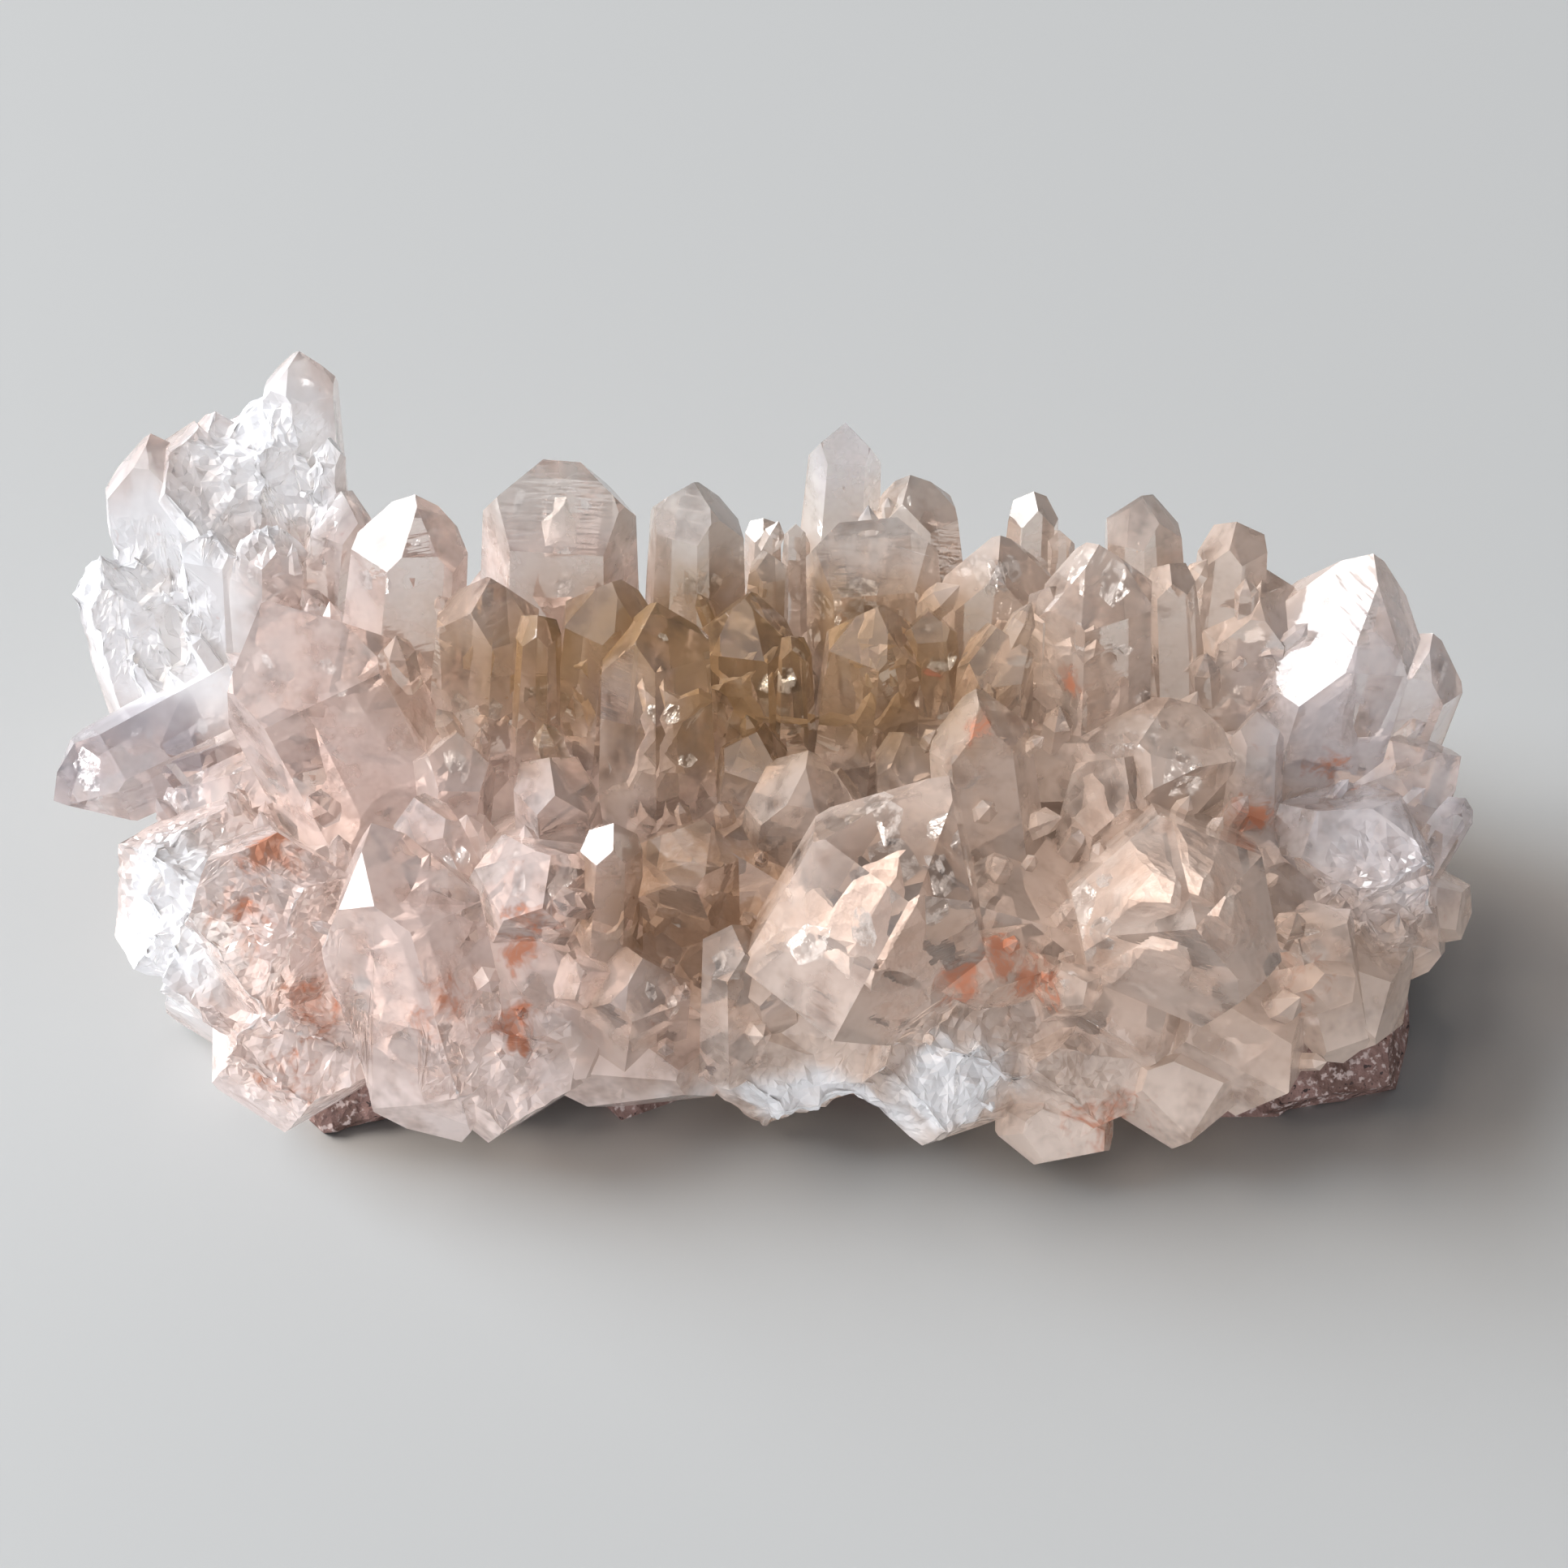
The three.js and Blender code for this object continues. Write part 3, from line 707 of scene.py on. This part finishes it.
class QuartzSettings(bpy.types.PropertyGroup):
    quartz_ior: FloatProperty(
        name="Refraction", description="Index of refraction of quartz", default=1.544, min=1.0,
        max=2.0,
    )
    quartz_tint: FloatVectorProperty(
        name="Tint", description="Colour that light takes on inside the clear crystals",
        subtype="COLOR", size=4, default=(0.90, 0.81, 0.74, 1.0), min=0.0, max=1.0,
    )
    quartz_density: FloatProperty(
        name="Tint density", description="How strongly the crystals colour light, per metre",
        default=40.0, min=0.0,
    )
    cloudiness: FloatProperty(
        name="Cloudiness", description="How milky the crystals are where nothing else says so",
        default=0.44, min=0.0, max=1.0,
    )
    druse_count: IntProperty(
        name="Small crystals", description="How many small crystals grow in the valleys",
        default=150, min=1,
    )
    crack_count: IntProperty(
        name="Cracks", description="How many healed cracks are tried inside the crystals",
        default=440, min=1,
    )
    chunk_relief: FloatProperty(
        name="Chunk relief", description="How rough the broken chunks are", default=0.7 * MM,
        unit="LENGTH",
    )
    root_depth: FloatProperty(
        name="Clear skin", description="Depth of clear quartz over the milky roots",
        default=5.6 * MM, unit="LENGTH",
    )
    root_voxel: FloatProperty(
        name="Root grain", description="Size of the finest detail of the milky roots",
        default=0.7 * MM, unit="LENGTH",
    )
    rock_relief: FloatProperty(
        name="Rock relief", description="How far the grains of the host rock stand out",
        default=0.5 * MM, unit="LENGTH",
    )
    seed: IntProperty(
        name="Seed", description="Changes everything that is placed at random", default=7,
    )


class StageSettings(bpy.types.PropertyGroup):
    floor_colour: FloatVectorProperty(
        name="Floor", description="Colour of the floor", subtype="COLOR", size=4,
        default=(0.70, 0.70, 0.69, 1.0), min=0.0, max=1.0,
    )
    window_power: FloatProperty(
        name="Window", description="Power of the large window light", default=445.0, unit="POWER",
    )
    front_power: FloatProperty(
        name="Front", description="Power of the soft light on the crystals from the front left",
        default=13.0, unit="POWER",
    )
    fill_power: FloatProperty(
        name="Fill", description="Power of the soft light on the crystals from the front right",
        default=9.0, unit="POWER",
    )
    room_light: FloatProperty(
        name="Room", description="Brightness of the room around", default=0.14, min=0.0,
    )


class QUARTZ_OT_crystals(bpy.types.Operator):
    """Make the clear crystals, with the small ones between them and their broken chunks"""

    bl_idname = "quartz.crystals"
    bl_label = "Clear Crystals"

    def execute(self, context):
        settings = context.scene.quartz
        bm = copy_of("crystals")
        if any(not edge.is_manifold for edge in bm.edges):
            raise RuntimeError("the crystals are not one closed solid")
        small = druse(bm, settings.druse_count, settings.seed)
        large = joined(mesh_from(bm, "crystals"), small)
        bm = bmesh.new()
        bm.from_mesh(large)
        refine(bm, ROUGH_CHUNKS, CHUNK_GRAIN)
        roughen(bm, ROUGH_CHUNKS, settings.chunk_relief)
        whole = mesh_from(bm, "crystals")
        shown("clear_crystals", whole, clear_quartz(settings), "quartz", "crystals")
        return {"FINISHED"}


class QUARTZ_OT_roots(bpy.types.Operator):
    """Make the milky roots inside the crystals"""

    bl_idname = "quartz.roots"
    bl_label = "Milky Roots"

    def execute(self, context):
        settings = context.scene.quartz
        solid = mesh_from(copy_of("crystals"), "roots")
        core = eroded(solid, settings.root_voxel, settings.root_depth, PEELS)
        core = worked(core, ("DECIMATE", {"decimate_type": "COLLAPSE", "ratio": ROOT_DETAIL}))
        core.shade_flat()
        shown("milky_roots", core, milky_root(), "quartz")
        return {"FINISHED"}


class QUARTZ_OT_cracks(bpy.types.Operator):
    """Make the healed cracks inside the crystals"""

    bl_idname = "quartz.cracks"
    bl_label = "Healed Cracks"

    def execute(self, context):
        settings = context.scene.quartz
        bm = copy_of("crystals")
        mesh = crack_flakes(bm, settings.crack_count, settings.seed)
        bm.free()
        shown("healed_cracks", mesh, crack_film(), "quartz")
        return {"FINISHED"}


class QUARTZ_OT_host_rock(bpy.types.Operator):
    """Make the granular host rock"""

    bl_idname = "quartz.host_rock"
    bl_label = "Host Rock"

    def execute(self, context):
        settings = context.scene.quartz
        bm = copy_of("matrix")
        low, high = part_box("matrix")
        everywhere = (((low + high) / 2 / MM, (high - low).length / MM, 1.0),)
        refine(bm, everywhere, ROCK_GRAIN)
        bm.normal_update()
        for vert in bm.verts:
            side = vert.co.z > low.z + 0.2 * MM
            if side and vert.co.z < high.z - 0.2 * MM:
                lump = noise.fractal(vert.co / (2.6 * MM), 1.0, 2.0, 4)
                vert.co += vert.normal * settings.rock_relief * lump
                vert.co.z = max(vert.co.z, low.z + 0.15 * MM)
        shown("host_rock", mesh_from(bm, "host_rock"), granular_rock(), "host_rock", "matrix")
        return {"FINISHED"}


# Light panels, in metres: width, distance, the direction they stand in, and colour.
WINDOW = (3.15, 5.0, (-0.83, 0.30, 0.47), (0.96, 0.98, 1.0))
FRONT = (1.6, 1.8, (-0.55, -0.62, 0.56), (0.92, 0.94, 1.0))
FILL = (1.6, 1.8, (0.40, -0.75, 0.55), (1.0, 0.97, 0.95))


def soft_light(name, power, panel_data):
    """A square light panel that faces the middle of the floor."""
    size, distance, direction, colour = panel_data
    panel = bpy.data.lights.new(name, "AREA")
    panel.shape = "SQUARE"
    panel.size = size
    panel.energy = power
    panel.color = colour
    lamp = bpy.data.objects.new(name, panel)
    lamp.location = Vector(direction).normalized() * distance
    lamp.rotation_euler = (-lamp.location).to_track_quat("-Z", "Y").to_euler()
    bpy.context.scene.collection.objects.link(lamp)
    return lamp


class QUARTZ_OT_stage(bpy.types.Operator):
    """Make the floor, the lights and the camera"""

    bl_idname = "quartz.stage"
    bl_label = "Stage"

    def execute(self, context):
        settings = context.scene.quartz_stage
        scene = context.scene
        bm = bmesh.new()
        bmesh.ops.create_grid(bm, x_segments=1, y_segments=1, size=4.0)
        mesh = mesh_from(bm, "floor")
        floor = bpy.data.objects.new("floor", mesh)
        mesh.materials.append(pale_floor(settings))
        scene.collection.objects.link(floor)

        soft_light("window", settings.window_power, WINDOW)
        front = soft_light("crystal_front", settings.front_power, FRONT)
        near = soft_light("crystal_fill", settings.fill_power, FILL)
        lit = bpy.data.collections.new("lit_by_fill")
        for piece in scene.objects:
            if piece.get("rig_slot"):
                lit.objects.link(piece)
        front.light_linking.receiver_collection = lit
        near.light_linking.receiver_collection = lit

        world = bpy.data.worlds.new("room")
        world.use_nodes = True
        background = world.node_tree.nodes["Background"]
        background.inputs["Color"].default_value = (0.93, 0.95, 1.0, 1.0)
        background.inputs["Strength"].default_value = settings.room_light
        scene.world = world
        scene.view_settings.view_transform = "Standard"
        scene.cycles.max_bounces = 4
        scene.cycles.diffuse_bounces = 1
        scene.cycles.glossy_bounces = 2
        scene.cycles.transmission_bounces = 4
        scene.cycles.use_light_tree = False
        scene.cycles.transparent_max_bounces = 4
        scene.cycles.caustics_reflective = False

        camera = bpy.data.cameras.new("camera")
        camera.lens = CAMERA_LENS
        camera.sensor_width = 36.0
        camera.clip_start = 0.01
        eye = bpy.data.objects.new("camera", camera)
        target = Vector(CAMERA_TARGET) * MM
        eye.location = Vector(CAMERA_PLACE) * MM
        eye.rotation_euler = (target - eye.location).to_track_quat("-Z", "Y").to_euler()
        scene.collection.objects.link(eye)
        scene.camera = eye
        return {"FINISHED"}


class QUARTZ_PT_panel(bpy.types.Panel):
    bl_label = "Strawberry Quartz"
    bl_idname = "QUARTZ_PT_panel"
    bl_space_type = "VIEW_3D"
    bl_region_type = "UI"
    bl_category = "Quartz"

    def draw(self, context):
        for settings in (context.scene.quartz, context.scene.quartz_stage):
            for name in settings.bl_rna.properties.keys():
                if name not in ("rna_type", "name"):
                    self.layout.prop(settings, name)
        for operator in OPERATORS:
            self.layout.operator(operator.bl_idname)


OPERATORS = (QUARTZ_OT_crystals, QUARTZ_OT_roots, QUARTZ_OT_cracks, QUARTZ_OT_host_rock, QUARTZ_OT_stage)
CLASSES = (QuartzSettings, StageSettings, *OPERATORS, QUARTZ_PT_panel)


def register():
    for cls in CLASSES:
        bpy.utils.register_class(cls)
    bpy.types.Scene.quartz = PointerProperty(type=QuartzSettings)
    bpy.types.Scene.quartz_stage = PointerProperty(type=StageSettings)


def unregister():
    del bpy.types.Scene.quartz_stage
    del bpy.types.Scene.quartz
    for cls in reversed(CLASSES):
        bpy.utils.unregister_class(cls)


def main():
    register()
    bpy.ops.quartz.crystals()
    bpy.ops.quartz.roots()
    bpy.ops.quartz.cracks()
    bpy.ops.quartz.host_rock()
    bpy.ops.quartz.stage()


if __name__ == "__main__":
    main()
